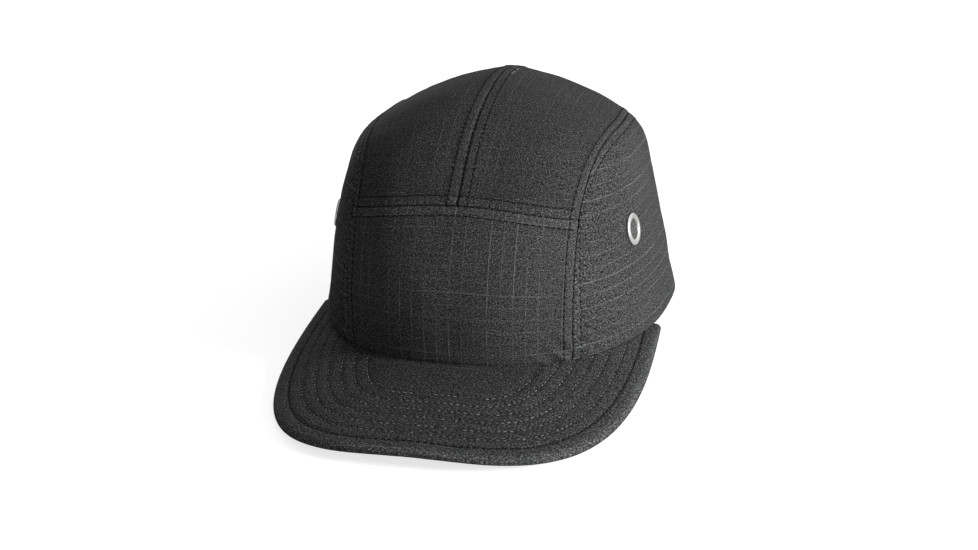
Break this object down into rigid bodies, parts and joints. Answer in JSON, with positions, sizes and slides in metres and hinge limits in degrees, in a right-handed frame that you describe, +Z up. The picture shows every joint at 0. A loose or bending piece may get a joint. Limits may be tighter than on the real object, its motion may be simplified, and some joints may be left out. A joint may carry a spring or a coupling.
{
  "type": "bump cap",
  "caption": "Soft fabric peaked cap with a vented protective shell inside that slides out of the head opening, and a buckled size strap at the back.",
  "frame": {"origin": "middle of the head opening, on the plane of the crown's rim", "axes": "the wearer faces -Y, the wearer's left is +X, +Z is up with the cap standing on a table on its brim and its rear rim, so the rim plane is tipped back about X"},
  "size_m": [0.169, 0.2689, 0.1198],
  "materials": {
    "ripstop_fabric": "matt ripstop weave, charcoal black",
    "seam_tape": "matt bias tape, black",
    "brim_board": "stiff polyethylene sheet",
    "sweatband_fabric": "soft knitted band, black",
    "eyelet_metal": "bright nickel plate",
    "eyelet_mesh": "fine woven wire",
    "strap_webbing": "tight ribbed webbing, black",
    "buckle_metal": "satin nickel plate",
    "shell_plastic": "moulded with a fine texture, dark blue grey",
    "foam": "closed-cell foam with a knitted face"
  },
  "bodies": {
    "cap": {"brim_board": "brim_board", "brim_top_cover": "ripstop_fabric", "brim_under_cover": "ripstop_fabric", "buckle_frame": "buckle_metal", "buckle_pin": "buckle_metal", "centre_seam_tape": "seam_tape", "crown_panel_left": "ripstop_fabric", "crown_panel_right": "ripstop_fabric", "eyelet_ring_left": "eyelet_metal", "eyelet_ring_right": "eyelet_metal", "eyelet_screen_left": "eyelet_mesh", "eyelet_screen_right": "eyelet_mesh", "eyelet_washer_left": "eyelet_metal", "eyelet_washer_right": "eyelet_metal", "front_panel": "ripstop_fabric", "front_seam_tape": "seam_tape", "rear_arch_binding": "seam_tape", "side_panel_left": "ripstop_fabric", "side_panel_right": "ripstop_fabric", "side_seam_tape_left": "seam_tape", "side_seam_tape_right": "seam_tape", "strap_anchor": "strap_webbing", "sweatband": "sweatband_fabric"},
    "insert": {"protective_shell": "shell_plastic", "crown_pad": "foam", "front_pad": "foam", "rear_pad": "foam", "side_pad_left": "foam", "side_pad_right": "foam"},
    "strap": {"strap": "strap_webbing"},
    "lever": {"buckle_lever": "buckle_metal"}
  },
  "joints": [
    {"name": "insert_slide", "type": "slide", "parent": "cap", "child": "insert", "axis": [0, -0.0886, -0.9961], "range_m": [0, 0.15], "stiffness_N_per_m": 20, "springref_m": -0.15},
    {"name": "strap_adjust", "type": "hinge", "parent": "cap", "child": "strap", "pos_m": [0, 0.01743, -0.00155], "axis": [0, -0.0886, -0.9961], "range_deg": [-10, 10]},
    {"name": "lever_flip", "type": "hinge", "parent": "cap", "child": "lever", "pos_m": [-0.03512, 0.09209, 0.00687], "axis": [0.0826, -0.0856, 0.9929], "range_deg": [0, 105]}
  ]
}
